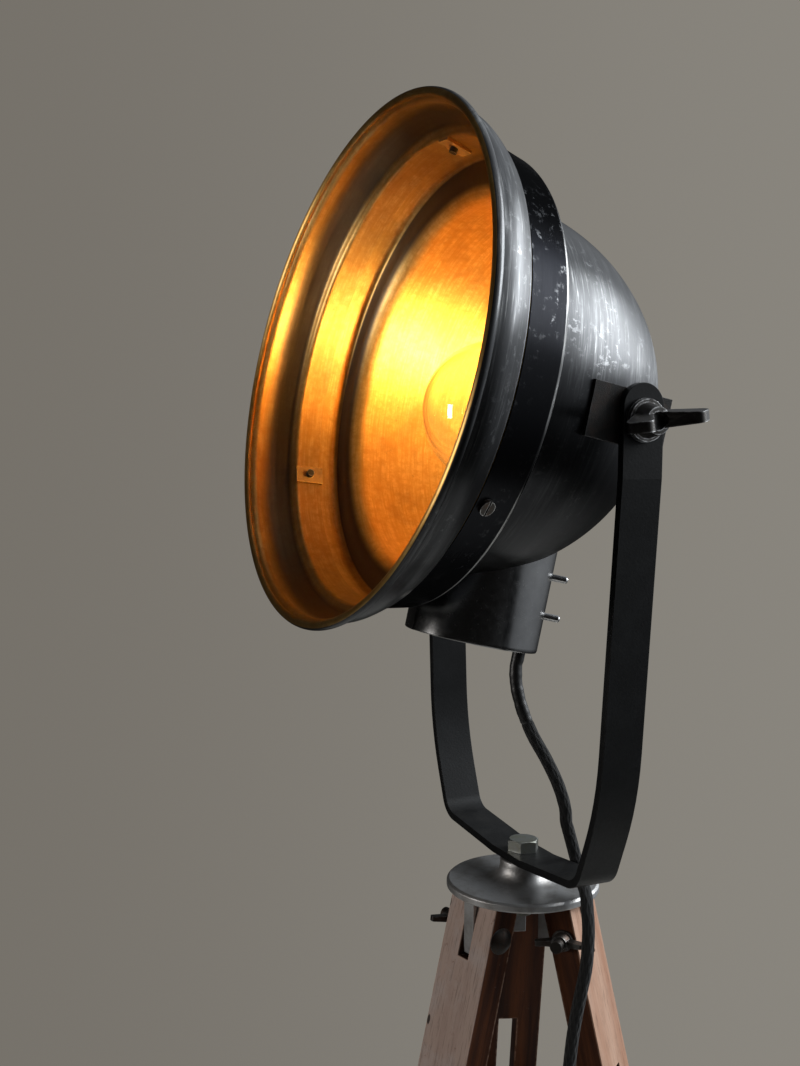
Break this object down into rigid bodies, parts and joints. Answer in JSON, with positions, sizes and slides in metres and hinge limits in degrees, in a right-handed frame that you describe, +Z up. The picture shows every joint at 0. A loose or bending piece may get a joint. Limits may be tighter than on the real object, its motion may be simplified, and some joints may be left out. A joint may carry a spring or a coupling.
{
  "type": "tripod floodlight",
  "caption": "Spun-steel floodlight with a flared bezel and globe bulb, tilting in a flat-bar yoke that turns on a wooden tripod with folding, sliding legs.",
  "frame": {"origin": "on the floor, at the middle of the lamp's box without its cord", "axes": "+Z up, the lamp faces -Y"},
  "size_m": [0.5742, 0.4153, 1.4405],
  "materials": {
    "reflector": "worn dark grey over brushed steel",
    "bezel": "spun steel with worn black paint",
    "screw_steel": "dark steel",
    "clip_steel": "tarnished steel",
    "neck": "satin black",
    "neck_base": "satin black",
    "pin_steel": "bright steel",
    "grommet": "matt",
    "strip_steel": "zinc plated",
    "porcelain": "glazed ceramic",
    "bulb_glass": "clear, warm",
    "bulb_cap": "bright",
    "bulb_stem": "clear",
    "filament": "glowing",
    "bracket": "black with rust",
    "stud_steel": "plain",
    "wing_nut": "darkened with bright ends",
    "washer_steel": "plain",
    "yoke_paint": "matt black",
    "zinc_bolt": "zinc plated",
    "cast_plate": "brushed casting",
    "leg_bolt": "blackened",
    "leg_nut": "darkened",
    "collar_steel": "blackened steel",
    "ferrule_steel": "plain",
    "foot_rubber": "matt",
    "cord": "braided textile",
    "tie": "woven strap",
    "plug": "moulded",
    "plug_pins": "nickel plated",
    "wood_upper_1": "aged, worn varnish",
    "wood_lower_1": "aged, worn varnish",
    "wood_upper_2": "aged, worn varnish",
    "wood_lower_2": "aged, worn varnish",
    "wood_upper_3": "aged, worn varnish",
    "wood_lower_3": "aged, worn varnish"
  },
  "bodies": {
    "tripod_head": {"head_plate": "cast_plate", "pan_bolt": "zinc_bolt", "pan_washer": "zinc_bolt", "pan_nut": "zinc_bolt", "cord_lower": "cord", "cord_coil": "cord", "coil_tie": "tie", "plug_body": "plug", "plug_pins": "plug_pins"},
    "yoke": {"yoke": "yoke_paint", "tilt_washers": "washer_steel", "cord_upper": "cord"},
    "lamp_head": {"reflector_bowl": "reflector", "bezel_ring": "bezel", "bezel_screws": "screw_steel", "bezel_clips": "clip_steel", "neck_tube": "neck", "neck_base": "neck_base", "neck_pins": "pin_steel", "cord_grommet": "grommet", "holder_strip": "strip_steel", "lampholder": "porcelain", "bulb_glass": "bulb_glass", "bulb_cap": "bulb_cap", "bulb_stem": "bulb_stem", "bulb_filament": "filament", "tilt_bracket_right": "bracket", "tilt_bracket_left": "bracket", "tilt_studs": "stud_steel"},
    "tilt_nut_right": {"tilt_nut_right": "wing_nut"},
    "tilt_nut_left": {"tilt_nut_left": "wing_nut"},
    "leg_1": {"leg_1_upper": "wood_upper_1", "leg_1_hinge_bolt": "leg_bolt", "leg_1_collar": "collar_steel"},
    "leg_1_extension": {"leg_1_lower": "wood_lower_1", "leg_1_clamp_bolt": "leg_bolt", "leg_1_ferrule": "ferrule_steel", "leg_1_foot": "foot_rubber"},
    "leg_1_hinge_nut": {"leg_1_hinge_nut": "leg_nut"},
    "leg_1_clamp_nut": {"leg_1_clamp_nut": "leg_nut"},
    "leg_2": {"leg_2_upper": "wood_upper_2", "leg_2_hinge_bolt": "leg_bolt", "leg_2_collar": "collar_steel"},
    "leg_2_extension": {"leg_2_lower": "wood_lower_2", "leg_2_clamp_bolt": "leg_bolt", "leg_2_ferrule": "ferrule_steel", "leg_2_foot": "foot_rubber"},
    "leg_2_hinge_nut": {"leg_2_hinge_nut": "leg_nut"},
    "leg_2_clamp_nut": {"leg_2_clamp_nut": "leg_nut"},
    "leg_3": {"leg_3_upper": "wood_upper_3", "leg_3_hinge_bolt": "leg_bolt", "leg_3_collar": "collar_steel"},
    "leg_3_extension": {"leg_3_lower": "wood_lower_3", "leg_3_clamp_bolt": "leg_bolt", "leg_3_ferrule": "ferrule_steel", "leg_3_foot": "foot_rubber"},
    "leg_3_hinge_nut": {"leg_3_hinge_nut": "leg_nut"},
    "leg_3_clamp_nut": {"leg_3_clamp_nut": "leg_nut"}
  },
  "joints": [
    {"name": "pan", "type": "hinge", "parent": "tripod_head", "child": "yoke", "pos_m": [0.019, 0.042, 0.9615], "axis": [0, 0, 1], "range_deg": [-170, 170], "deforming": ["cord_lower"]},
    {"name": "tilt", "type": "hinge", "parent": "yoke", "child": "lamp_head", "pos_m": [0.019, 0.042, 1.248], "axis": [-1, 0, 0], "range_deg": [-38, 75], "deforming": ["cord_upper"]},
    {"name": "tilt_nut_right_turn", "type": "hinge", "parent": "lamp_head", "child": "tilt_nut_right", "pos_m": [0.149, 0.042, 1.248], "axis": [1, 0, 0], "continuous": true},
    {"name": "tilt_nut_left_turn", "type": "hinge", "parent": "lamp_head", "child": "tilt_nut_left", "pos_m": [-0.111, 0.042, 1.248], "axis": [-1, 0, 0], "continuous": true},
    {"name": "leg_1_fold", "type": "hinge", "parent": "tripod_head", "child": "leg_1", "pos_m": [0.02463, 0.00644, 0.917], "axis": [0.9877, 0.1564, 0], "range_deg": [0, 11]},
    {"name": "leg_1_slide", "type": "slide", "parent": "leg_1", "child": "leg_1_extension", "axis": [0.0365, -0.2306, -0.9724], "range_m": [-0.05, 0.4]},
    {"name": "leg_1_hinge_nut_turn", "type": "hinge", "parent": "leg_1", "child": "leg_1_hinge_nut", "pos_m": [-0.005, 0.00175, 0.917], "axis": [-0.9877, -0.1564, 0], "continuous": true},
    {"name": "leg_1_clamp_nut_turn", "type": "hinge", "parent": "leg_1_extension", "child": "leg_1_clamp_nut", "pos_m": [0.03479, -0.05773, 0.73206], "axis": [0.1521, -0.9604, 0.2334], "continuous": true},
    {"name": "leg_2_fold", "type": "hinge", "parent": "tripod_head", "child": "leg_2", "pos_m": [0.04698, 0.06466, 0.917], "axis": [-0.6293, 0.7771, 0], "range_deg": [0, 11]},
    {"name": "leg_2_slide", "type": "slide", "parent": "leg_2", "child": "leg_2_extension", "axis": [0.1814, 0.1469, -0.9724], "range_m": [-0.05, 0.4]},
    {"name": "leg_2_hinge_nut_turn", "type": "hinge", "parent": "leg_2", "child": "leg_2_hinge_nut", "pos_m": [0.06586, 0.04134, 0.917], "axis": [0.6293, -0.7771, 0], "continuous": true},
    {"name": "leg_2_clamp_nut_turn", "type": "hinge", "parent": "leg_2_extension", "child": "leg_2_clamp_nut", "pos_m": [0.09747, 0.10554, 0.73206], "axis": [0.7557, 0.6119, 0.2334], "continuous": true},
    {"name": "leg_3_fold", "type": "hinge", "parent": "tripod_head", "child": "leg_3", "pos_m": [-0.01461, 0.0549, 0.917], "axis": [-0.3584, -0.9336, 0], "range_deg": [0, 11]},
    {"name": "leg_3_slide", "type": "slide", "parent": "leg_3", "child": "leg_3_extension", "axis": [-0.2179, 0.0837, -0.9724], "range_m": [-0.05, 0.4]},
    {"name": "leg_3_hinge_nut_turn", "type": "hinge", "parent": "leg_3", "child": "leg_3_hinge_nut", "pos_m": [-0.00386, 0.08291, 0.917], "axis": [0.3584, 0.9336, 0], "continuous": true},
    {"name": "leg_3_clamp_nut_turn", "type": "hinge", "parent": "leg_3_extension", "child": "leg_3_clamp_nut", "pos_m": [-0.07526, 0.07818, 0.73206], "axis": [-0.9078, 0.3485, 0.2334], "continuous": true}
  ]
}
